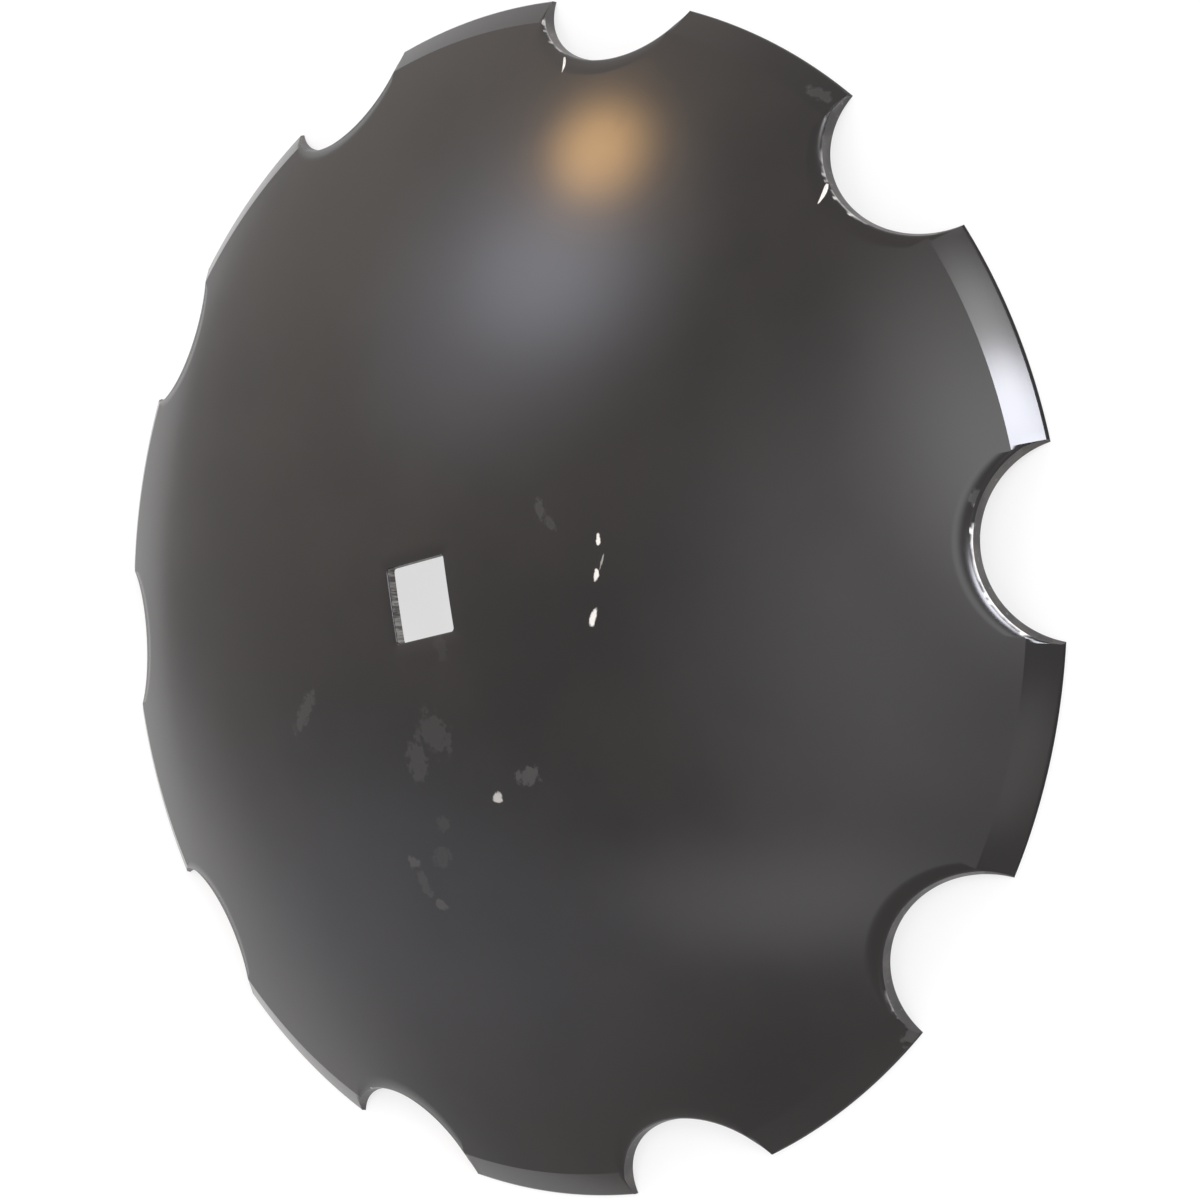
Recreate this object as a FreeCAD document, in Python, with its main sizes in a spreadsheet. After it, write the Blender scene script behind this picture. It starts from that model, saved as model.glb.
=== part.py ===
import FreeCAD, Part
import os
import Sketcher

# Harrow disc blade: one sheet of hardened steel, pressed to a shallow dish, with a
# ground rim, round notches that leave a ring of blunt teeth, and a square axle hole.
#
# Millimetres. The Z axis is the axle's line. The blade lies with its convex face up on
# the edge of its rim, so the rim's lower edge is in the plane Z = 0. The flats of the
# axle hole face +X, -X, +Y and -Y.

V = FreeCAD.Vector

doc = FreeCAD.newDocument("harrow_disc_blade")

# ---------------------------------------------------------------- driving dimensions

SIZES = [
    ("disc_diameter", 660, "over the teeth, at the rim's land"),
    ("sheet_thickness", 6, "of the pressed sheet"),
    ("dish_radius", 765, "spherical radius of the concave face"),
    ("rim_bevel_width", 14, "of the ground band on the convex face, seen along the axle"),
    ("rim_land_height", 2.2, "blunt edge that the grinding leaves below the band"),
    ("notch_count", 10, "notches round the rim"),
    ("notch_radius", 48, "of a notch's edge on the concave face"),
    ("notch_depth", 35, "from the rim to a notch's innermost point, on the concave face"),
    ("notch_turn", 11.8, "degrees from +X to the middle of the first notch"),
    ("notch_wall_lean", 3.2, "how far the wall falls back on its way up to the bevel"),
    ("notch_bevel_width", 1.8, "of the small bevel along a notch's upper edge"),
    ("notch_bevel_depth", 1.3, "of that bevel, below the convex face"),
    ("axle_hole_width", 41, "across the flats of the square hole"),
    ("axle_hole_corner", 2, "radius in the hole's corners"),
    ("axle_hole_rollover", 0.8, "radius that the punch leaves on the hole's upper edge"),
    ("cut_clearance", 4, "how far cutting profiles run past the sheet"),
]

sheet = doc.addObject("Spreadsheet::Sheet", "sizes")
for row, (alias, value, meaning) in enumerate(SIZES, start=1):
    sheet.set(f"A{row}", meaning)
    sheet.set(f"B{row}", str(value))
    sheet.setAlias(f"B{row}", alias)
doc.recompute()

# Values that follow from the driving ones, as expressions for the sketches.
RIM_RADIUS = "sizes.disc_diameter / 2"
OUTER_RADIUS = "(sizes.dish_radius + sizes.sheet_thickness)"
CENTRE_DROP = f"sqrt(sizes.dish_radius ^ 2 - ({RIM_RADIUS}) ^ 2)"
NOTCH_TILT = (
    f"asin(({RIM_RADIUS} - sizes.notch_depth) / sizes.dish_radius)"
    " + asin(sizes.notch_radius / sizes.dish_radius)"
)


def value(expression):
    """The number that an expression stands for, in millimetres or degrees."""
    result = sheet.evalExpression(expression)
    return float(getattr(result, "Value", result))


def origin_plane(body, role):
    return next(f for f in body.Origin.OriginFeatures if f.Role == role)


def add_sketch(body, name, role):
    sketch = body.newObject("Sketcher::SketchObject", name)
    sketch.AttachmentSupport = [(origin_plane(body, role), "")]
    sketch.MapMode = "FlatFace"
    return sketch


def bind(sketch, kind, *geometry, expression):
    """Add a dimension whose value is an expression of the sheet."""
    index = sketch.addConstraint(Sketcher.Constraint(kind, *geometry, value(expression)))
    sketch.setExpression(f"Constraints[{index}]", expression)


# In a sketch the points of a line or arc are START and END, an arc's centre is CENTRE,
# and the sketch's own origin and axes are ROOT, H_AXIS and V_AXIS.
START, END, CENTRE = range(1, 4)
H_AXIS, V_AXIS = range(-1, -3, -1)
ROOT = (H_AXIS, START)

body = doc.addObject("PartDesign::Body", "disc_blade_body")
body.Label = "disc_blade"

# ---------------------------------------------------------------- pressed and ground dish

# Half of the blade's section, from the axle's line out to the rim: two concentric arcs
# for the sheet, the upright land, and the straight line of the ground band above it.
section = add_sketch(body, "dish_section", "XZ_Plane")
rim = value(RIM_RADIUS)
drop = value(CENTRE_DROP)
inner = value("sizes.dish_radius")
outer = value(OUTER_RADIUS)
land_top = value("sizes.rim_land_height")
bevel_start = value(f"{RIM_RADIUS} - sizes.rim_bevel_width")

apex_low = V(0, inner - drop, 0)
apex_high = V(0, outer - drop, 0)
rim_low = V(rim, 0, 0)
rim_high = V(rim, land_top, 0)
bevel_top = V(bevel_start, (outer**2 - bevel_start**2) ** 0.5 - drop, 0)


def dish_arc(radius, first, last):
    """Arc of the sheet's section about the dish's centre, anticlockwise."""
    centre = V(0, -drop, 0)
    angles = [(point - centre).getAngle(V(1, 0, 0)) for point in (first, last)]
    return Part.ArcOfCircle(Part.Circle(centre, V(0, 0, 1), radius), *angles)


concave = section.addGeometry(dish_arc(inner, rim_low, apex_low))
land = section.addGeometry(Part.LineSegment(rim_low, rim_high))
band = section.addGeometry(Part.LineSegment(rim_high, bevel_top))
convex = section.addGeometry(dish_arc(outer, bevel_top, apex_high))
middle = section.addGeometry(Part.LineSegment(apex_high, apex_low))
section.addConstraint([
    Sketcher.Constraint("Coincident", concave, START, land, START),
    Sketcher.Constraint("Coincident", land, END, band, START),
    Sketcher.Constraint("Coincident", band, END, convex, START),
    Sketcher.Constraint("Coincident", convex, END, middle, START),
    Sketcher.Constraint("Coincident", middle, END, concave, END),
    Sketcher.Constraint("Coincident", convex, CENTRE, concave, CENTRE),
    Sketcher.Constraint("PointOnObject", concave, CENTRE, V_AXIS),
    Sketcher.Constraint("PointOnObject", middle, START, V_AXIS),
    Sketcher.Constraint("PointOnObject", middle, END, V_AXIS),
    Sketcher.Constraint("PointOnObject", land, START, H_AXIS),
    Sketcher.Constraint("Vertical", land),
])
bind(section, "Radius", concave, expression="sizes.dish_radius")
bind(section, "Radius", convex, expression=OUTER_RADIUS)
bind(section, "DistanceX", *ROOT, land, START, expression=RIM_RADIUS)
bind(section, "DistanceY", land, START, land, END, expression="sizes.rim_land_height")
bind(section, "DistanceX", *ROOT, band, END, expression=f"{RIM_RADIUS} - sizes.rim_bevel_width")

dish = body.newObject("PartDesign::Revolution", "dish")
dish.Profile = section
dish.ReferenceAxis = (section, ["V_Axis"])
dish.Angle = 360
section.Visibility = False
doc.recompute()

# ---------------------------------------------------------------- notches

# One notch is turned out of the sheet about its own axis, which passes through the
# dish's centre, so the notch is a true circle on both faces. The sketch stands on that
# axis: its origin is the dish's centre and its vertical axis is the notch's.
# From the concave face the wall leans back, and a small bevel breaks its upper edge.
profile = add_sketch(body, "notch_profile", "XZ_Plane")
profile.setExpression(
    "AttachmentOffset",
    f"create(<<placement>>; create(<<vector>>; 0; -({CENTRE_DROP}); 0);"
    " create(<<rotation>>; create(<<vector>>; 0; 1; 0); sizes.notch_turn)"
    f" * create(<<rotation>>; create(<<vector>>; 0; 0; 1); -({NOTCH_TILT})))",
)

WALL_TOP = "(sizes.notch_radius + sizes.notch_wall_lean)"
BEVEL_TOP = f"({WALL_TOP} + sizes.notch_bevel_width)"
BEVEL_FLOOR = f"({OUTER_RADIUS} - sizes.notch_bevel_depth)"
CUT_LOW = "(sizes.dish_radius - sizes.cut_clearance)"
CUT_HIGH = f"({OUTER_RADIUS} + sizes.cut_clearance)"


def on_sphere(radius, offset):
    """Height along the notch's axis of a point of a sphere about the dish's centre."""
    return f"sqrt({radius} ^ 2 - {offset} ^ 2)"


foot = V(-value("sizes.notch_radius"), value(on_sphere("sizes.dish_radius", "sizes.notch_radius")), 0)
knee = V(-value(WALL_TOP), value(on_sphere(BEVEL_FLOOR, WALL_TOP)), 0)
crest = V(-value(BEVEL_TOP), value(on_sphere(OUTER_RADIUS, BEVEL_TOP)), 0)


def along(first, last, height):
    """The point at a height on the line through two points."""
    return first + (last - first) * ((height - first.y) / (last.y - first.y))


low = value(CUT_LOW)
high = value(CUT_HIGH)
wall_low = along(foot, knee, low)
bevel_high = along(knee, crest, high)
outline = [V(0, low, 0), wall_low, knee, bevel_high, V(0, high, 0)]
sides = [
    profile.addGeometry(Part.LineSegment(first, last))
    for first, last in zip(outline, outline[1:] + outline[:1])
]
floor, wall, bevel, roof, spine = sides
foot_mark = profile.addGeometry(Part.Point(foot), True)
crest_mark = profile.addGeometry(Part.Point(crest), True)
for side, following in zip(sides, sides[1:] + sides[:1]):
    profile.addConstraint(Sketcher.Constraint("Coincident", side, END, following, START))
profile.addConstraint([
    Sketcher.Constraint("PointOnObject", spine, START, V_AXIS),
    Sketcher.Constraint("PointOnObject", spine, END, V_AXIS),
    Sketcher.Constraint("Horizontal", floor),
    Sketcher.Constraint("Horizontal", roof),
    Sketcher.Constraint("PointOnObject", foot_mark, START, wall),
    Sketcher.Constraint("PointOnObject", crest_mark, START, bevel),
])
bind(profile, "DistanceY", *ROOT, floor, START, expression=CUT_LOW)
bind(profile, "DistanceY", *ROOT, roof, END, expression=CUT_HIGH)
for geometry, point, offset, radius in [
    (foot_mark, START, "sizes.notch_radius", "sizes.dish_radius"),
    (wall, END, WALL_TOP, BEVEL_FLOOR),
    (crest_mark, START, BEVEL_TOP, OUTER_RADIUS),
]:
    bind(profile, "DistanceX", geometry, point, *ROOT, expression=offset)
    bind(profile, "DistanceY", *ROOT, geometry, point, expression=on_sphere(radius, offset))

notch = body.newObject("PartDesign::Groove", "notch")
notch.Profile = profile
notch.ReferenceAxis = (profile, ["V_Axis"])
notch.Angle = 360
profile.Visibility = False
doc.recompute()

notches = body.newObject("PartDesign::PolarPattern", "notches")
notches.Originals = [notch]
notches.Axis = (section, ["V_Axis"])
notches.Angle = 360
notches.setExpression("Occurrences", "sizes.notch_count")
body.Tip = notches
doc.recompute()

# ---------------------------------------------------------------- square axle hole

# The hole is punched along the axle's line. Its corners are rounded, and the punch
# rolls the edge of the convex face over a little.
hole_outline = add_sketch(body, "axle_hole_outline", "XY_Plane")
half = value("sizes.axle_hole_width / 2")
corner = value("sizes.axle_hole_corner")
flats = []
corners = []
for quarter in range(4):
    turn = FreeCAD.Rotation(V(0, 0, 1), 90 * quarter)
    first = turn.multVec(V(half, corner - half, 0))
    last = turn.multVec(V(half, half - corner, 0))
    round_centre = turn.multVec(V(half - corner, half - corner, 0))
    circle = Part.Circle(round_centre, V(0, 0, 1), corner)
    start_angle = FreeCAD.Units.Quantity(90 * quarter, "deg").getValueAs("rad").Value
    end_angle = FreeCAD.Units.Quantity(90 * (quarter + 1), "deg").getValueAs("rad").Value
    flats.append(hole_outline.addGeometry(Part.LineSegment(first, last)))
    corners.append(hole_outline.addGeometry(Part.ArcOfCircle(circle, start_angle, end_angle)))
for quarter in range(4):
    upright = quarter % 2 == 0
    next_flat = flats[(quarter + 1) % 4]
    hole_outline.addConstraint([
        Sketcher.Constraint("Vertical" if upright else "Horizontal", flats[quarter]),
        Sketcher.Constraint("Tangent", flats[quarter], END, corners[quarter], START),
        Sketcher.Constraint("Tangent", corners[quarter], END, next_flat, START),
    ])
for quarter in range(1, 4):
    hole_outline.addConstraint(Sketcher.Constraint("Equal", corners[0], corners[quarter]))
bind(hole_outline, "Radius", corners[0], expression="sizes.axle_hole_corner")
bind(hole_outline, "DistanceX", *ROOT, flats[0], START, expression="sizes.axle_hole_width / 2")
bind(hole_outline, "DistanceY", *ROOT, flats[1], START, expression="sizes.axle_hole_width / 2")
bind(hole_outline, "DistanceX", flats[2], START, *ROOT, expression="sizes.axle_hole_width / 2")
bind(hole_outline, "DistanceY", flats[3], START, *ROOT, expression="sizes.axle_hole_width / 2")

hole = body.newObject("PartDesign::Pocket", "axle_hole")
hole.Profile = hole_outline
hole.Type = "ThroughAll"
hole.Reversed = True
hole_outline.Visibility = False
doc.recompute()


def hole_edges_on_top(shape):
    """Names of the edges where the axle hole meets the convex face."""
    reach = value("sizes.axle_hole_width")
    names = []
    for number, edge in enumerate(shape.Edges, start=1):
        points = [vertex.Point for vertex in edge.Vertexes] + [edge.valueAt(edge.FirstParameter)]
        centre = V(0, 0, -drop)
        if all(abs((p - centre).Length - outer) < 0.01 and V(p.x, p.y, 0).Length < reach for p in points):
            names.append(f"Edge{number}")
    return names


rollover = body.newObject("PartDesign::Fillet", "axle_hole_rollover")
rollover.Base = (hole, hole_edges_on_top(hole.Shape))
rollover.setExpression("Radius", "sizes.axle_hole_rollover")
body.Tip = rollover
doc.recompute()

# ---------------------------------------------------------------- checks and output

for item in doc.Objects:
    failed = [word for word in item.State if word in ("Invalid", "Error")]
    if failed:
        raise RuntimeError(f"{item.Label} did not build: {failed}")

steps = [dish, notch, notches, hole, rollover]
for before, after in zip(steps, steps[1:]):
    if after.Shape.Volume > before.Shape.Volume - 1:
        raise RuntimeError(f"{after.Label} cut nothing")

if body.Shape.isNull() or not body.Shape.isValid() or len(body.Shape.Solids) != 1:
    raise RuntimeError("the blade is not one valid solid")

os.makedirs("parts", exist_ok=True)
body.Shape.exportStep(f"parts/{body.Label}.step")
print(f"{body.Label}: {body.Shape.Volume / 1000:.1f} cm3, box {body.Shape.BoundBox}")
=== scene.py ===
import math

import bmesh
import bpy
from mathutils import Matrix, Vector


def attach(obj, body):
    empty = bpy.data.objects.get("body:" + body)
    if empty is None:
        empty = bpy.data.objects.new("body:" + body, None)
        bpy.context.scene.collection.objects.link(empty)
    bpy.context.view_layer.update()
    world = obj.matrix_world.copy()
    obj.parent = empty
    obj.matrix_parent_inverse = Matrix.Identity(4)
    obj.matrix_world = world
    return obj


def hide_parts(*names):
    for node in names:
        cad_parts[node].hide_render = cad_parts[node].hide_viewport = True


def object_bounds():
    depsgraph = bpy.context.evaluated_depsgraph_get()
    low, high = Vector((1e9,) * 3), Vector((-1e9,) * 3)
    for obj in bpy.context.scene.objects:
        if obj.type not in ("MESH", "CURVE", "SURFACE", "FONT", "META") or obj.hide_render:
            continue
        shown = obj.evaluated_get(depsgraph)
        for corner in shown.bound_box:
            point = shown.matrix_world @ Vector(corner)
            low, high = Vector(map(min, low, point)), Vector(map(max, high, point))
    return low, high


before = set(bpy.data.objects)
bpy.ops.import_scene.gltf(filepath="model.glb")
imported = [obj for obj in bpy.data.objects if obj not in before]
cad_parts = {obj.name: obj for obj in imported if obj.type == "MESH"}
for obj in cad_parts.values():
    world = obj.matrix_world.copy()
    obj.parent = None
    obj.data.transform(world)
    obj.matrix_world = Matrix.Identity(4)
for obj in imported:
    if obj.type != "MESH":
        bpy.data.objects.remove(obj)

cad_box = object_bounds()

# ------------------------------------------------------------------ the blade's form
# One sheet of boron steel, pressed hot to a shallow dish, hardened and enamelled black.
# Its rim is ground to a band on the convex face, above a blunt land. Ten round notches
# are cut through the rim, and a square hole is punched for the gang's axle.

# Sizes are in metres, and the rim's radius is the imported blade's own.
RIM_RADIUS = cad_box[1].x
SHEET = 0.006
CONCAVE_RADIUS = 0.765
CONVEX_RADIUS = CONCAVE_RADIUS + SHEET
CENTRE_DROP = math.sqrt(CONCAVE_RADIUS**2 - RIM_RADIUS**2)
DISH_CENTRE = Vector((0, 0, -CENTRE_DROP))
LAND_HEIGHT = 0.0022
BAND_RADIUS = RIM_RADIUS - 0.014
NOTCHES = 10
NOTCH_RADIUS = 0.048
NOTCH_DEPTH = 0.035
NOTCH_TURN = math.radians(11.8)
WALL_LEAN = 0.0032
NOTCH_BEVEL_WIDTH = 0.0018
NOTCH_BEVEL_DEPTH = 0.0013
HOLE_HALF = 0.0205
HOLE_CORNER = 0.002
ROLLOVER = 0.0008
LAND_ROUNDING = 0.0007
# The middle of that rounding, in from the rim and up the band, as shares of it.
MIDDLE_IN = 0.25
MIDDLE_UP = 0.1

NOTCH_TILT = math.asin((RIM_RADIUS - NOTCH_DEPTH) / CONCAVE_RADIUS) + math.asin(NOTCH_RADIUS / CONCAVE_RADIUS)
NOTCH_AXIS = Vector((math.sin(NOTCH_TILT), 0, math.cos(NOTCH_TILT)))
NOTCH_INWARD = Vector((-math.cos(NOTCH_TILT), 0, math.sin(NOTCH_TILT)))
KNEE_RADIUS = NOTCH_RADIUS + WALL_LEAN
CREST_RADIUS = KNEE_RADIUS + NOTCH_BEVEL_WIDTH


def height_on(sphere, reach):
    """Height of a sphere about the dish's centre, at a distance from an axis through it."""
    return math.sqrt(sphere**2 - reach**2)


FOOT_HEIGHT = height_on(CONCAVE_RADIUS, NOTCH_RADIUS)
KNEE_HEIGHT = height_on(CONVEX_RADIUS - NOTCH_BEVEL_DEPTH, KNEE_RADIUS)
CREST_HEIGHT = height_on(CONVEX_RADIUS, CREST_RADIUS)
BAND_TOP = height_on(CONVEX_RADIUS, BAND_RADIUS) - CENTRE_DROP


def on_wall(turn, height):
    """Point of a notch's wall or bevel: turn is the angle about the notch's axis from its
    innermost point, and height is measured along that axis from the dish's centre."""
    if height < KNEE_HEIGHT:
        share = (height - FOOT_HEIGHT) / (KNEE_HEIGHT - FOOT_HEIGHT)
        reach = NOTCH_RADIUS + share * WALL_LEAN
    else:
        share = (height - KNEE_HEIGHT) / (CREST_HEIGHT - KNEE_HEIGHT)
        reach = KNEE_RADIUS + share * NOTCH_BEVEL_WIDTH
    across = NOTCH_INWARD * math.cos(turn) + Vector((0, 1, 0)) * math.sin(turn)
    return DISH_CENTRE + NOTCH_AXIS * height + across * reach


def outside(point):
    """Is a point past the rim, or above the convex face and its ground band?"""
    reach = math.hypot(point.x, point.y)
    if reach > RIM_RADIUS:
        return True
    if reach < BAND_RADIUS:
        return (point - DISH_CENTRE).length > CONVEX_RADIUS
    share = (reach - BAND_RADIUS) / (RIM_RADIUS - BAND_RADIUS)
    return point.z > BAND_TOP + share * (LAND_HEIGHT - BAND_TOP)


def halve(low, high, holds):
    """The place between low and high where holds turns from false to true."""
    for _ in range(40):
        middle = (low + high) / 2
        low, high = (low, middle) if holds(middle) else (middle, high)
    return (low + high) / 2


def at_azimuth(azimuth, reach, height):
    """Point at an azimuth, a reach from the axle's line and a height."""
    return Vector((reach * math.cos(azimuth), reach * math.sin(azimuth), height))


def wall_top(turn):
    """Where a notch's wall or bevel comes out at the rim, the band or the convex face."""
    height = halve(FOOT_HEIGHT, CREST_HEIGHT + SHEET, lambda h: outside(on_wall(turn, h)))
    return height, on_wall(turn, height)


def notch_chain(turn):
    """Points up the edge of the sheet at one place of a notch: foot, knee, top of the
    wall, three points over the land's rounded edge, and top of the ground band."""
    foot = on_wall(turn, FOOT_HEIGHT)
    top_height, top = wall_top(turn)
    knee = on_wall(turn, min(top_height, KNEE_HEIGHT))
    if top.z < LAND_HEIGHT:
        side = math.copysign(land_azimuth, turn)
        return [foot, knee, top, *land_points(side)]
    on_band = math.hypot(top.x, top.y) > BAND_RADIUS
    band = at_azimuth(math.atan2(top.y, top.x), BAND_RADIUS, BAND_TOP) if on_band else top
    return [foot, knee, top, top, top, top, band]


def land_points(azimuth):
    """Points over the rounded upper edge of the land, and at the top of the ground band."""
    share = LAND_ROUNDING / (RIM_RADIUS - BAND_RADIUS)
    rise = BAND_TOP - LAND_HEIGHT
    return [
        at_azimuth(azimuth, RIM_RADIUS, LAND_HEIGHT - LAND_ROUNDING),
        at_azimuth(azimuth, RIM_RADIUS - LAND_ROUNDING * MIDDLE_IN, LAND_HEIGHT + rise * share * MIDDLE_UP),
        at_azimuth(azimuth, RIM_RADIUS - LAND_ROUNDING, LAND_HEIGHT + rise * share),
        at_azimuth(azimuth, BAND_RADIUS, BAND_TOP),
    ]


def tooth_chain(share):
    """The same points at one place of a tooth, share of the way from notch to notch."""
    low_azimuth = corner_azimuth + share * (pitch - 2 * corner_azimuth)
    high_azimuth = land_azimuth + share * (pitch - 2 * land_azimuth)
    low = at_azimuth(low_azimuth, RIM_RADIUS, 0)
    return [low, low, low, *land_points(high_azimuth)]


# Stretches of the notches' bevels painted pale: painted highlight where a bevel mirrors the
# window, drawn as enamel rubbed down to bright steel. Columns: the notch, the first and last
# turn in degrees from its innermost point, and how strongly it is painted and rubbed. Each fades over a few
# degrees at its ends.
RUB_FADE = 4
RUBBED = [
    (7, -58, 14, 1.0),
    (8, -24, 12, 0.55),
    (8, 12, 48, 0.4),
    (9, 14, 70, 0.45),
    (4, -40, -20, 0.5),
    (6, -80, -40, 0.35),
]


def rubbing(number, turn):
    """How much painted highlight and rubbing a notch's bevel has at a turn, fading over the last few degrees.
    """
    place = math.degrees(turn)
    worn = 0.0
    for notch, first, last, amount in RUBBED:
        if notch == number:
            inside = min(place - first, last - place) / RUB_FADE
            worn = max(worn, amount * min(max(inside, 0), 1))
    return worn


def spread(first, last, steps):
    """Evenly spaced values from first, up to but not including last."""
    return [first + (last - first) * step / steps for step in range(steps)]


JUST_INSIDE = 1e-6

# Where a notch's foot meets the rim's lower edge, and its wall the top of the land.
corner_turn = halve(0, math.pi, lambda t: math.hypot(*on_wall(t, FOOT_HEIGHT).xy) > RIM_RADIUS)
corner = on_wall(corner_turn, FOOT_HEIGHT)
corner_azimuth = math.atan2(corner.y, corner.x)
land_turn = halve(0, corner_turn, lambda t: wall_top(t)[1].z < LAND_HEIGHT)
land_corner = wall_top(land_turn - JUST_INSIDE)[1]
land_azimuth = math.atan2(land_corner.y, land_corner.x)
pitch = math.tau / NOTCHES

LAND_STEPS = 3
WALL_STEPS = 66
TOOTH_STEPS = 24
into_notch = spread(-corner_turn, -land_turn, LAND_STEPS)
along_notch = spread(-land_turn, land_turn, WALL_STEPS)
out_of_notch = spread(land_turn, corner_turn, LAND_STEPS)
turns = into_notch + along_notch + out_of_notch
one_notch = [notch_chain(turn) for turn in turns] + [tooth_chain(share) for share in spread(0, 1, TOOTH_STEPS)]
edge_chains = []
rubbed = []
for number in range(NOTCHES):
    to_place = Matrix.Rotation(NOTCH_TURN + pitch * number, 3, "Z")
    edge_chains += [[to_place @ point for point in chain] for chain in one_notch]
    rubbed += [rubbing(number, turn) for turn in turns] + [0.0] * TOOTH_STEPS


def hole_reach(azimuth, grow=0.0):
    """Distance from the axle's line to the outline of the square hole, grown outwards."""
    half, corner_radius = HOLE_HALF + grow, HOLE_CORNER + grow
    across, along = sorted((abs(math.cos(azimuth)), abs(math.sin(azimuth))))
    flat = half / along
    if flat * across < half - corner_radius:
        return flat
    middle = half - corner_radius
    toward = middle * (across + along)
    return toward + math.sqrt(max(toward**2 - 2 * middle**2 + corner_radius**2, 0))


FACE_RINGS = 34
face_shares = [step / FACE_RINGS for step in range(FACE_RINGS + 1)]
rollover_angles = [math.radians(angle) for angle in (60, 30, 0)]

rings = []
foots = [chain[0] for chain in edge_chains]
azimuths = [math.atan2(foot.y, foot.x) for foot in foots]


def face_ring(sphere, share, inner_grow, outer_points):
    """Ring of points on a face of the sheet, share of the way from the hole to the edge."""
    ring = []
    for azimuth, outer in zip(azimuths, outer_points):
        inner = at_azimuth(azimuth, hole_reach(azimuth, inner_grow), 0)
        place = inner.xy.lerp(outer.xy, share)
        ring.append(Vector((*place, height_on(sphere, place.length) - CENTRE_DROP)))
    return ring


for share in face_shares:
    rings.append(face_ring(CONCAVE_RADIUS, share, 0, foots))
concave_edge = len(rings) - 1
for level in range(1, 7):
    rings.append([chain[level] for chain in edge_chains])
knee_ring, top_ring, land_low, land_middle, land_high, band_ring = range(concave_edge + 1, concave_edge + 7)
bands = [chain[6] for chain in edge_chains]
for share in reversed(face_shares[:-1]):
    rings.append(face_ring(CONVEX_RADIUS, share, ROLLOVER, bands))
for angle in rollover_angles:
    grow = ROLLOVER * (1 - math.cos(angle))
    sunk = ROLLOVER * (1 - math.sin(angle))
    ring = []
    for azimuth in azimuths:
        rim = hole_reach(azimuth, ROLLOVER)
        top = height_on(CONVEX_RADIUS, rim) - CENTRE_DROP
        ring.append(at_azimuth(azimuth, hole_reach(azimuth, grow), top - sunk))
    rings.append(ring)

FACE, NOTCH_WALL, NOTCH_BEVEL, LAND, BAND, HOLE_WALL = range(6)
WELD = 1e-6
blade_mesh = bmesh.new()
rub_layer = blade_mesh.verts.layers.float.new("rubbed")
ring_verts = [[blade_mesh.verts.new(point) for point in ring] for ring in rings]
# Painted highlight and rubbing along the notches' bevels, carried as a value on the mesh.
for ring in (ring_verts[knee_ring], ring_verts[top_ring]):
    for vert, worn in zip(ring, rubbed):
        vert[rub_layer] = worn
count = len(azimuths)
finish_after = {
    concave_edge: NOTCH_WALL,
    knee_ring: NOTCH_BEVEL,
    top_ring: LAND,
    land_low: LAND,
    land_middle: BAND,
    land_high: BAND,
    len(rings) - 1: HOLE_WALL,
}
sharp_rings = {0, concave_edge, knee_ring, top_ring, band_ring}
for index, ring in enumerate(ring_verts):
    following = ring_verts[(index + 1) % len(ring_verts)]
    for place in range(count):
        beside = (place + 1) % count
        face = blade_mesh.faces.new((ring[place], ring[beside], following[beside], following[place]))
        face.smooth = True
        face.material_index = finish_after.get(index, FACE)
        if index in sharp_rings:
            blade_mesh.edges.get((ring[place], ring[beside])).smooth = False
bmesh.ops.remove_doubles(blade_mesh, verts=blade_mesh.verts, dist=WELD)
bmesh.ops.dissolve_degenerate(blade_mesh, edges=blade_mesh.edges, dist=WELD)
bmesh.ops.recalc_face_normals(blade_mesh, faces=blade_mesh.faces)
blade_data = bpy.data.meshes.new("blade")
blade_mesh.to_mesh(blade_data)
blade_mesh.free()
blade = bpy.data.objects.new("blade", blade_data)
bpy.context.scene.collection.objects.link(blade)
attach(blade, "root")
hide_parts("disc_blade")

# ------------------------------------------------------------------ black stove enamel
# Thin black enamel, dipped over pickled steel and baked: near-black, with a semi-gloss
# skin that shows the slight waves of the pressed sheet. Handling has left dull smears on
# it and a few chips down to bright steel.

MM = 0.001


def linear(hex_colour):
    """An sRGB hex colour as linear RGBA."""
    parts = [int(hex_colour[i : i + 2], 16) / 255 for i in (1, 3, 5)]
    return [c / 12.92 if c <= 0.04045 else ((c + 0.055) / 1.055) ** 2.4 for c in parts] + [1]


def add_node(tree, kind, inputs=None, **settings):
    """Add a shader node with its settings; an input is a value or an output to link."""
    made = tree.nodes.new(kind)
    for name, setting in settings.items():
        setattr(made, name, setting)
    for name, source in (inputs or {}).items():
        if isinstance(source, bpy.types.NodeSocket):
            tree.links.new(source, made.inputs[name])
        else:
            made.inputs[name].default_value = source
    return made


def new_material(name):
    """A material with an empty node tree, and that tree."""
    material = bpy.data.materials.new(name)
    material.use_nodes = True
    material.node_tree.nodes.clear()
    return material, material.node_tree


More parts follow.
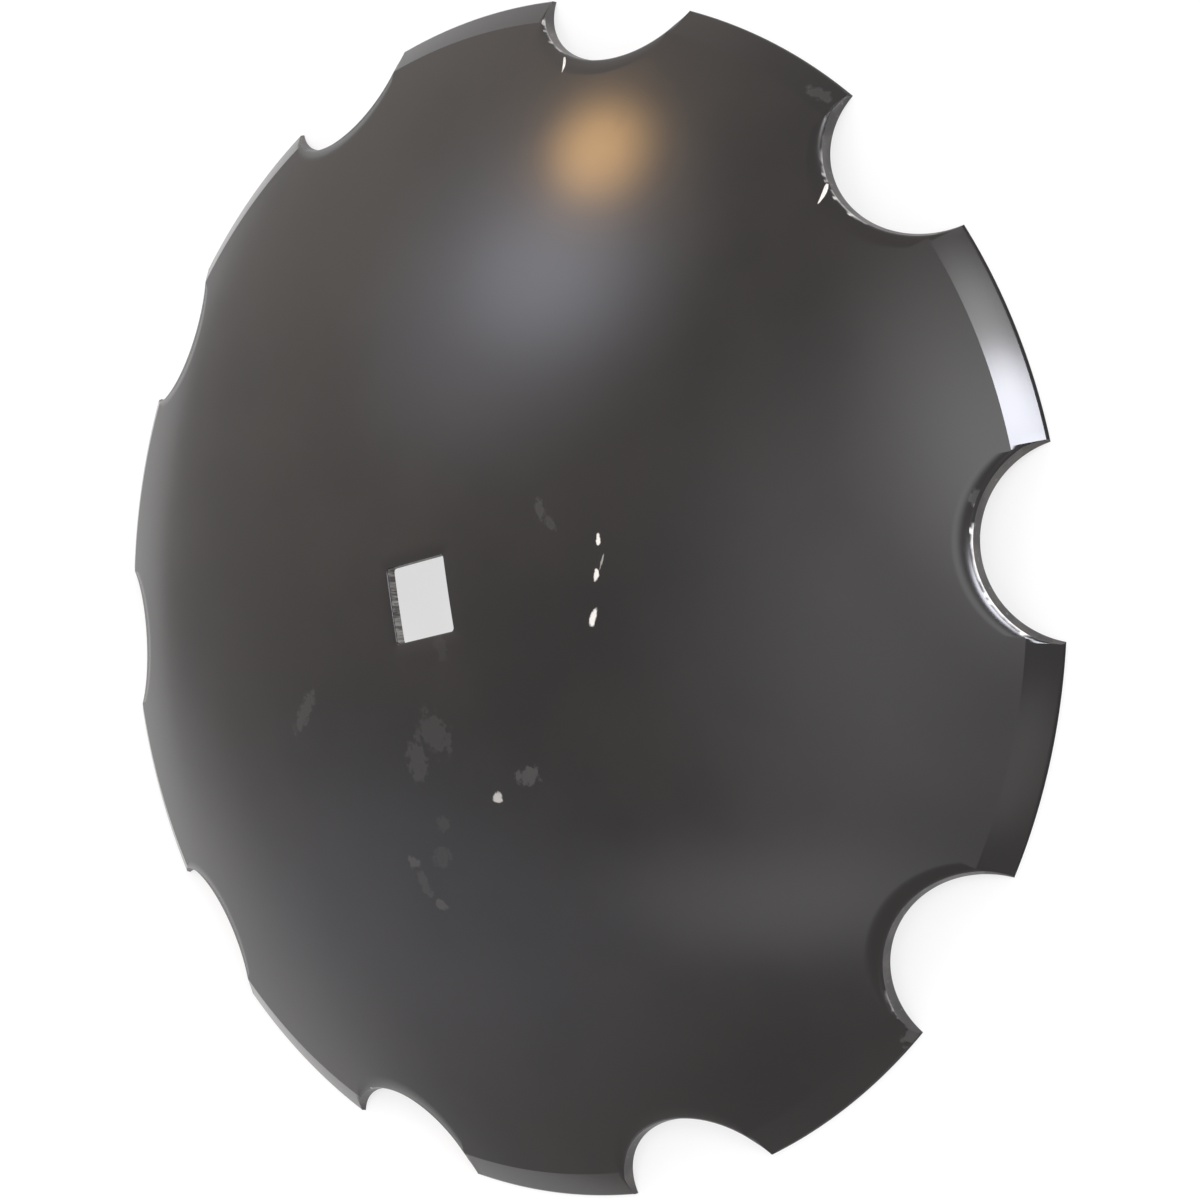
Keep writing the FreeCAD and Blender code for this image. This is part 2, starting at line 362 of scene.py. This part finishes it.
# Marks on the face: centre, length and width in millimetres, direction of the length in
# degrees from +X, and how much of the mark's colour shows.
CHIPS = [
    (8, -117, 5.5, 2.6, -3, 1.0),
    (-9, -113, 5.5, 2.6, -19, 1.0),
    (-30, -107, 8.0, 3.2, -32, 1.0),
    (-3, -117, 9.0, 0.9, -27, 0.35),
    (-110, -27, 5.5, 5.0, 0, 0.55),
    (-14, -298, 3.5, 2.4, 14, 0.4),
]
SMEARS = [
    (-101, -50, 14, 9, 89, 0.85),
    (30, -86, 12, 5, 6, 0.45),
    (22, -91, 11, 4.5, 36, 0.4),
    (-44, 106, 28, 9, -50, 0.5),
    (-136, 43, 7, 7, 22, 0.9),
    (-148, 40, 17, 7, 13, 0.45),
    (-161, 32, 9, 5, 58, 0.9),
    (-71, 6, 24, 18, 28, 0.4),
    (-83, 22, 22, 13, -10, 0.45),
    (-119, 14, 10, 8, 83, 0.35),
    (-136, 22, 12, 12, 84, 0.35),
    (-27, -10, 14, 8, 0, 0.2),
    (-252, -210, 20, 7, -49, 1.0),
    (-267, 145, 13, 4, -71, 1.0),
    (206, -248, 16, 5, 49, 0.5),
    (-10, -299, 9, 7, 20, 0.5),
]
# A mark fades between these shares of its half length and half width.
MARK_SOLID = 0.75
MARK_GONE = 1.25
ANY_HEIGHT = 1000


def marks(tree, place, places, ragged):
    """Mask of marks, each an ellipse in plan at any height, with its edge broken up."""
    total = 0.0
    for x, y, length, width, direction, amount in places:
        scaled = add_node(tree, "ShaderNodeMapping", {
            "Vector": place,
            "Location": (x * MM, y * MM, 0),
            "Rotation": (0, 0, math.radians(direction)),
            "Scale": (length / 2 * MM, width / 2 * MM, ANY_HEIGHT),
        }, vector_type="TEXTURE")
        away = add_node(tree, "ShaderNodeVectorMath", {0: scaled.outputs["Vector"]}, operation="LENGTH")
        broken = add_node(tree, "ShaderNodeMath", {0: away.outputs["Value"], 1: ragged}, operation="ADD")
        mask = add_node(tree, "ShaderNodeMapRange", {
            "Value": broken.outputs["Value"],
            "From Min": MARK_GONE, "From Max": MARK_SOLID, "To Min": 0.0, "To Max": amount,
        }, interpolation_type="SMOOTHSTEP")
        total = add_node(tree, "ShaderNodeMath", {
            0: total, 1: mask.outputs["Result"],
        }, operation="MAXIMUM").outputs["Value"]
    return total


enamel, tree = new_material("black_stove_enamel")
place = add_node(tree, "ShaderNodeTexCoord").outputs["Object"]
# Clouds of the dipped film are 110 mm across, and a 4 mm grain breaks up the marks.
clouds = add_node(tree, "ShaderNodeTexNoise", {"Vector": place, "Scale": 1 / (110 * MM), "Detail": 5.0})
grain = add_node(tree, "ShaderNodeTexNoise", {"Vector": place, "Scale": 1 / (4 * MM), "Detail": 3.0})
ragged = add_node(tree, "ShaderNodeMapRange", {
    "Value": grain.outputs["Fac"], "From Min": 0.3, "From Max": 0.7, "To Min": -0.35, "To Max": 0.35,
}, interpolation_type="SMOOTHSTEP")
film_share = add_node(tree, "ShaderNodeMapRange", {
    "Value": clouds.outputs["Fac"], "From Min": 0.35, "From Max": 0.65, "To Min": 0.0, "To Max": 1.0,
}, interpolation_type="SMOOTHSTEP")
film = add_node(tree, "ShaderNodeMix", {
    "Factor": film_share.outputs["Result"], "A": linear("#191818"), "B": linear("#201e1d"),
}, data_type="RGBA")
smeared = marks(tree, place, SMEARS, ragged.outputs["Result"])
chipped = marks(tree, place, CHIPS, ragged.outputs["Result"])
under_smears = add_node(tree, "ShaderNodeMix", {
    "Factor": smeared, "A": film.outputs["Result"], "B": linear("#3a3938"),
}, data_type="RGBA")
colour = add_node(tree, "ShaderNodeMix", {
    "Factor": chipped, "A": under_smears.outputs["Result"], "B": linear("#d4d2cc"),
}, data_type="RGBA")
film_gloss = add_node(tree, "ShaderNodeMapRange", {
    "Value": clouds.outputs["Fac"], "From Min": 0.3, "From Max": 0.7, "To Min": 0.15, "To Max": 0.19,
}, interpolation_type="SMOOTHSTEP")
smear_gloss = add_node(tree, "ShaderNodeMath", {
    0: smeared, 1: 0.25, 2: film_gloss.outputs["Result"],
}, operation="MULTIPLY_ADD")
gloss = add_node(tree, "ShaderNodeMath", {
    0: chipped, 1: 0.3, 2: smear_gloss.outputs["Value"],
}, operation="MULTIPLY_ADD")
# Press waves of 90 mm, 0.12 mm deep, under an orange peel of 3 mm, a few microns deep.
press = add_node(tree, "ShaderNodeTexNoise", {"Vector": place, "Scale": 1 / (90 * MM), "Detail": 1.0})
peel = add_node(tree, "ShaderNodeTexNoise", {"Vector": place, "Scale": 1 / (3 * MM), "Detail": 1.0})
pressed = add_node(tree, "ShaderNodeBump", {
    "Height": press.outputs["Fac"], "Distance": 0.12 * MM, "Strength": 1.0,
})
skin = add_node(tree, "ShaderNodeBump", {
    "Height": peel.outputs["Fac"], "Distance": 0.003 * MM, "Strength": 1.0, "Normal": pressed.outputs["Normal"],
})
shader = add_node(tree, "ShaderNodeBsdfPrincipled", {
    "Base Color": colour.outputs["Result"], "Roughness": gloss.outputs["Value"],
    "IOR": 1.5, "Normal": skin.outputs["Normal"],
})
add_node(tree, "ShaderNodeOutputMaterial", {"Surface": shader.outputs["BSDF"]})

# ------------------------------------------------------------------ enamelled notch walls
# The same enamel over the sheared walls of the notches. It follows the torn grain of the
# cut, 2.5 mm long, so it is rougher and a little greyer than on the faces.

sheared, tree = new_material("enamel_on_sheared_steel")
place = add_node(tree, "ShaderNodeTexCoord").outputs["Object"]
grain = add_node(tree, "ShaderNodeTexNoise", {"Vector": place, "Scale": 1 / (2.5 * MM), "Detail": 4.0})
patches = add_node(tree, "ShaderNodeTexNoise", {"Vector": place, "Scale": 1 / (18 * MM), "Detail": 2.0})
patch_share = add_node(tree, "ShaderNodeMapRange", {
    "Value": patches.outputs["Fac"], "From Min": 0.35, "From Max": 0.65, "To Min": 0.0, "To Max": 1.0,
}, interpolation_type="SMOOTHSTEP")
coat = add_node(tree, "ShaderNodeMix", {
    "Factor": patch_share.outputs["Result"], "A": linear("#343333"), "B": linear("#4b4846"),
}, data_type="RGBA")
torn_share = add_node(tree, "ShaderNodeMapRange", {
    "Value": grain.outputs["Fac"], "From Min": 0.6, "From Max": 0.75, "To Min": 0.0, "To Max": 0.5,
}, interpolation_type="SMOOTHSTEP")
colour = add_node(tree, "ShaderNodeMix", {
    "Factor": torn_share.outputs["Result"], "A": coat.outputs["Result"], "B": linear("#7d7a76"),
}, data_type="RGBA")
tears = add_node(tree, "ShaderNodeTexNoise", {"Vector": place, "Scale": 1 / (2.5 * MM), "Detail": 3.0})
torn = add_node(tree, "ShaderNodeBump", {
    "Height": tears.outputs["Fac"], "Distance": 0.1 * MM, "Strength": 1.0,
})
shader = add_node(tree, "ShaderNodeBsdfPrincipled", {
    "Base Color": colour.outputs["Result"], "Roughness": 0.42, "IOR": 1.5, "Normal": torn.outputs["Normal"],
})
add_node(tree, "ShaderNodeOutputMaterial", {"Surface": shader.outputs["BSDF"]})

# ------------------------------------------------------------------ bevels with painted highlight and rubbing
# The bevel along a notch's upper edge is enamelled, and in places painted pale: painted
# highlight where it mirrors the window, drawn as enamel rubbed through to finely scratched
# steel. The mesh's own value says where.

bevel_finish, tree = new_material("highlit_rubbed_bevel")
place = add_node(tree, "ShaderNodeTexCoord").outputs["Object"]
rub = add_node(tree, "ShaderNodeAttribute", attribute_name="rubbed")
grain = add_node(tree, "ShaderNodeTexNoise", {"Vector": place, "Scale": 1 / (5 * MM), "Detail": 3.0})
broken = add_node(tree, "ShaderNodeMapRange", {
    "Value": grain.outputs["Fac"], "From Min": 0.3, "From Max": 0.7, "To Min": -0.12, "To Max": 0.12,
}, interpolation_type="SMOOTHSTEP")
uneven = add_node(tree, "ShaderNodeMath", {
    0: rub.outputs["Fac"], 1: broken.outputs["Result"],
}, operation="ADD")
worn = add_node(tree, "ShaderNodeMapRange", {
    "Value": uneven.outputs["Value"], "From Min": 0.12, "From Max": 0.95, "To Min": 0.0, "To Max": 1.0,
}, interpolation_type="SMOOTHSTEP").outputs["Result"]
# Painted highlight: the pale steel colour stands in for the window's reflection along the bevel.
colour = add_node(tree, "ShaderNodeMix", {
    "Factor": worn, "A": linear("#1c1b1b"), "B": linear("#dcdbd9"),
}, data_type="RGBA")
gloss = add_node(tree, "ShaderNodeMapRange", {
    "Value": worn, "From Min": 0.0, "From Max": 1.0, "To Min": 0.25, "To Max": 0.5,
}, interpolation_type="SMOOTHSTEP")
scratches = add_node(tree, "ShaderNodeTexNoise", {"Vector": place, "Scale": 1 / (3 * MM), "Detail": 2.0})
scratched = add_node(tree, "ShaderNodeBump", {
    "Height": scratches.outputs["Fac"], "Distance": 0.02 * MM, "Strength": 1.0,
})
shader = add_node(tree, "ShaderNodeBsdfPrincipled", {
    "Base Color": colour.outputs["Result"], "Roughness": gloss.outputs["Result"],
    "IOR": 1.5, "Normal": scratched.outputs["Normal"],
})
add_node(tree, "ShaderNodeOutputMaterial", {"Surface": shader.outputs["BSDF"]})

# ------------------------------------------------------------------ painted shade on the land
# The blunt land of the rim is painted near-black and matt: painted shade, standing for the
# shadowed floor that it mirrors. It draws the darkest line on the blade.

land_finish, tree = new_material("painted_shade_land")
place = add_node(tree, "ShaderNodeTexCoord").outputs["Object"]
flakes = add_node(tree, "ShaderNodeTexNoise", {"Vector": place, "Scale": 1 / (4 * MM), "Detail": 3.0})
# Painted shade: the land's near-black colour stands for the dark shadow that it mirrors.
colour = add_node(tree, "ShaderNodeMix", {
    "Factor": flakes.outputs["Fac"], "A": linear("#060606"), "B": linear("#121111"),
}, data_type="RGBA")
pits = add_node(tree, "ShaderNodeTexNoise", {"Vector": place, "Scale": 1 / (3 * MM), "Detail": 1.0})
pitted = add_node(tree, "ShaderNodeBump", {
    "Height": pits.outputs["Fac"], "Distance": 0.04 * MM, "Strength": 1.0,
})
shader = add_node(tree, "ShaderNodeBsdfPrincipled", {
    "Base Color": colour.outputs["Result"], "Roughness": 0.6, "IOR": 1.3, "Normal": pitted.outputs["Normal"],
})
add_node(tree, "ShaderNodeOutputMaterial", {"Surface": shader.outputs["BSDF"]})

# ------------------------------------------------------------------ punched hole walls
# The walls of the axle hole are steel scuffed by the punch, with enamel in the low places; their pale grey is
# partly painted light, standing in for the lit wall.
# Its streaks stand upright, about 1.1 mm apart and 8 mm long.

STREAKS_PER_METRE = (900, 900, 120)
hole_finish, tree = new_material("punched_steel_with_painted_light")
place = add_node(tree, "ShaderNodeTexCoord").outputs["Object"]
stretched = add_node(tree, "ShaderNodeVectorMath", {0: place, 1: STREAKS_PER_METRE}, operation="MULTIPLY")
streaks = add_node(tree, "ShaderNodeTexNoise", {
    "Vector": stretched.outputs["Vector"], "Scale": 1.0, "Detail": 3.0,
})
steel_share = add_node(tree, "ShaderNodeMapRange", {
    "Value": streaks.outputs["Fac"], "From Min": 0.35, "From Max": 0.65, "To Min": 0.0, "To Max": 1.0,
}, interpolation_type="SMOOTHSTEP")
# Partly painted light: the pale grey stands in for the lit wall of the hole, over scuffed steel.
colour = add_node(tree, "ShaderNodeMix", {
    "Factor": steel_share.outputs["Result"], "A": linear("#3c3a38"), "B": linear("#8d8a85"),
}, data_type="RGBA")
scuffed = add_node(tree, "ShaderNodeBump", {
    "Height": streaks.outputs["Fac"], "Distance": 0.05 * MM, "Strength": 1.0,
})
shader = add_node(tree, "ShaderNodeBsdfPrincipled", {
    "Base Color": colour.outputs["Result"], "Roughness": 0.45, "IOR": 1.5, "Normal": scuffed.outputs["Normal"],
})
add_node(tree, "ShaderNodeOutputMaterial", {"Surface": shader.outputs["BSDF"]})

for finish in (enamel, sheared, bevel_finish, land_finish, enamel, hole_finish):
    blade.data.materials.append(finish)

# ------------------------------------------------------------------ burrs
# Slivers of steel that the punch tore up at the edge of two notches, where its own edge
# is chipped. They lie on the convex face, bright where the enamel didn't hold.

bare_steel, tree = new_material("torn_bare_steel")
place = add_node(tree, "ShaderNodeTexCoord").outputs["Object"]
grain = add_node(tree, "ShaderNodeTexNoise", {"Vector": place, "Scale": 1 / (2 * MM), "Detail": 2.0})
colour = add_node(tree, "ShaderNodeMix", {
    "Factor": grain.outputs["Fac"], "A": linear("#b9b6b0"), "B": linear("#f0eee9"),
}, data_type="RGBA")
shader = add_node(tree, "ShaderNodeBsdfPrincipled", {
    "Base Color": colour.outputs["Result"], "Metallic": 0.4, "Roughness": 0.4,
})
add_node(tree, "ShaderNodeOutputMaterial", {"Surface": shader.outputs["BSDF"]})

BURRS = [
    # first and last point on the face in metres, and half of the sliver's width
    ("burr_long", (0.1572, -0.2502), (0.1480, -0.2452), 0.0012),
    ("burr_thin", (0.2745, -0.1072), (0.2655, -0.1065), 0.0009),
]
SLIVER_STEPS = 12
SLIVER_SIDES = 8
SLIVER_BOW = 0.0006
SLIVER_FLATNESS = 0.45
for name, first, last, half_width in BURRS:
    first, last = Vector(first), Vector(last)
    across = (last - first).orthogonal().normalized()
    sliver = bmesh.new()
    loops = []
    for step in range(SLIVER_STEPS + 1):
        share = step / SLIVER_STEPS
        middle = first.lerp(last, share) + across * SLIVER_BOW * math.sin(math.pi * share)
        # Blunt at both ends, and fattest before its middle.
        size = half_width * math.sin(math.pi * (0.08 + 0.84 * share) ** 0.7)
        loop = []
        for side in range(SLIVER_SIDES):
            angle = math.tau * side / SLIVER_SIDES
            spot = middle + across * size * math.cos(angle)
            face_height = height_on(CONVEX_RADIUS, spot.length) - CENTRE_DROP
            loop.append(sliver.verts.new((*spot, face_height + size * SLIVER_FLATNESS * math.sin(angle))))
        loops.append(loop)
    for here, beyond in zip(loops, loops[1:]):
        for side in range(SLIVER_SIDES):
            after = (side + 1) % SLIVER_SIDES
            sliver.faces.new((here[side], here[after], beyond[after], beyond[side])).smooth = True
    sliver.faces.new(loops[0])
    sliver.faces.new(loops[-1])
    bmesh.ops.recalc_face_normals(sliver, faces=sliver.faces)
    sliver_data = bpy.data.meshes.new(name)
    sliver.to_mesh(sliver_data)
    sliver.free()
    sliver_data.materials.append(bare_steel)
    burr = bpy.data.objects.new(name, sliver_data)
    bpy.context.scene.collection.objects.link(burr)
    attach(burr, "root")

# ------------------------------------------------------------------ floor
# A plain pale studio floor of matt painted board, large enough to fill every view. Most
# of what the eye and a reflection get from it is its own white, and the rest is shaded.

FLOOR_SIZE = 30
OWN_WHITE = 0.72
bpy.ops.mesh.primitive_plane_add(size=FLOOR_SIZE)
floor = bpy.context.object
floor.name = "floor"
floor.location.z = cad_box[0].z
floor_paint, tree = new_material("matt_white_board")
board = add_node(tree, "ShaderNodeBsdfPrincipled", {"Base Color": linear("#f1f1f0"), "Roughness": 0.9})
white = add_node(tree, "ShaderNodeEmission", {"Color": linear("#fbfbfb"), "Strength": 1.0})
path = add_node(tree, "ShaderNodeLightPath")
seen = path.outputs["Is Camera Ray"]
for other in ("Is Glossy Ray", "Is Transmission Ray"):
    either = add_node(tree, "ShaderNodeMath", {0: seen, 1: path.outputs[other]}, operation="MAXIMUM")
    seen = either.outputs["Value"]
white_share = add_node(tree, "ShaderNodeMath", {0: seen, 1: OWN_WHITE}, operation="MULTIPLY")
blend = add_node(tree, "ShaderNodeMixShader", {
    "Fac": white_share.outputs["Value"], 1: board.outputs["BSDF"], 2: white.outputs["Emission"],
})
add_node(tree, "ShaderNodeOutputMaterial", {"Surface": blend.outputs["Shader"]})
floor.data.materials.append(floor_paint)

# ------------------------------------------------------------------ studio light
# A pale room with soft panels of light round it, which the enamel mirrors: a warm lamp, a
# cool window with its glare, and a row of dim glows off the walls.

world = bpy.data.worlds.new("studio")
bpy.context.scene.world = world
world.use_nodes = True
tree = world.node_tree
tree.nodes.clear()
direction = add_node(tree, "ShaderNodeTexCoord").outputs["Generated"]
total = linear("#cdc9c7")[:3]

# Azimuth and elevation, half width, half height and roll in degrees, the share of the
# panel with full light, its brightness and its colour.
PANELS = {
    "warm_lamp": (22, 38.5, 5.6, 7.2, 22, 0.35, 15.0, "#ffc67a"),
    "warm_wall": (31, 29, 64, 45, 43, 0.28, 0.45, "#fff0e2"),
    "cool_spill": (37, 44, 25, 22, -19, 0.12, 1.3, "#e4e9ff"),
    "cool_panel": (33, 47, 15, 11, -54, 0.05, 2.7, "#eaf0ff"),
    "top_panel": (-68, 64, 31, 17, -4, 0.05, 2.8, "#ffffff"),
    "window": (-75, 36, 14, 9, -5, 0.55, 25.0, "#f2f4ff"),
    "window_spill": (-59, 34, 18, 9, -20, 0.2, 6.0, "#ffffff"),
    "long_panel": (162, 59.5, 26, 9, 7, 0.05, 1.3, "#fcfaff"),
    "ceiling": (-132, 81, 28, 40, -42, 0.0, 1.05, "#fcf9ff"),
    "skirting": (109, 2.5, 33, 22, 16, 0.3, 0.5, "#f4f6ff"),
    "far_wall": (115, 36, 36, 20, 50, 0.3, 0.4, "#dfe6ff"),
    "side_glow": (-128, 37, 14, 8, 0, 0.4, 0.8, "#ffffff"),
}


def aimed(azimuth, elevation, roll):
    """Unit vectors towards a panel, across it and up it."""
    level = Vector((math.cos(azimuth), math.sin(azimuth), 0))
    middle = level * math.cos(elevation) + Vector((0, 0, math.sin(elevation)))
    across = Vector((-math.sin(azimuth), math.cos(azimuth), 0))
    turn = Matrix.Rotation(roll, 3, middle)
    return middle, turn @ across, turn @ middle.cross(across)


for azimuth, elevation, half_width, half_height, roll, core, strength, colour in PANELS.values():
    middle, across, rise = aimed(math.radians(azimuth), math.radians(elevation), math.radians(roll))
    forward = add_node(tree, "ShaderNodeVectorMath", {0: direction, 1: middle}, operation="DOT_PRODUCT")
    offsets = []
    for axis, half in ((across, half_width), (rise, half_height)):
        sideways = add_node(tree, "ShaderNodeVectorMath", {0: direction, 1: axis}, operation="DOT_PRODUCT")
        angle = add_node(tree, "ShaderNodeMath", {
            0: sideways.outputs["Value"], 1: forward.outputs["Value"],
        }, operation="ARCTAN2")
        offset = add_node(tree, "ShaderNodeMath", {
            0: angle.outputs["Value"], 1: 1 / math.radians(half),
        }, operation="MULTIPLY")
        offsets.append(offset.outputs["Value"])
    spot = add_node(tree, "ShaderNodeCombineXYZ", {"X": offsets[0], "Y": offsets[1]})
    away = add_node(tree, "ShaderNodeVectorMath", {0: spot.outputs["Vector"]}, operation="LENGTH")
    glow = add_node(tree, "ShaderNodeMapRange", {
        "Value": away.outputs["Value"], "From Min": 1.0, "From Max": core, "To Min": 0.0, "To Max": strength,
    }, interpolation_type="SMOOTHSTEP")
    tinted = add_node(tree, "ShaderNodeVectorMath", {
        0: linear(colour)[:3], "Scale": glow.outputs["Result"],
    }, operation="SCALE")
    total = add_node(tree, "ShaderNodeVectorMath", {
        0: total, 1: tinted.outputs["Vector"],
    }, operation="ADD").outputs["Vector"]
background = add_node(tree, "ShaderNodeBackground", {"Color": total, "Strength": 1.0})
add_node(tree, "ShaderNodeOutputWorld", {"Surface": background.outputs["Background"]})

# ------------------------------------------------------------------ camera
# The camera looks down on the convex face, from beside the blade, and lies on its side.

camera_data = bpy.data.cameras.new("camera")
camera_data.sensor_width = 36
camera_data.lens = 59.1
camera = bpy.data.objects.new("camera", camera_data)
bpy.context.scene.collection.objects.link(camera)
bpy.context.scene.camera = camera
ahead = Vector((0.1072, 0.6019, -0.7913)).normalized()
up = Vector((0.9823, -0.1869, -0.0090))
right = ahead.cross(up).normalized()
up = right.cross(ahead)
turned = Matrix((right, up, -ahead)).transposed().to_4x4()
camera.matrix_world = Matrix.Translation((-0.1266, -0.7019, 0.8471)) @ turned

view = bpy.context.scene.view_settings
view.view_transform = "Standard"
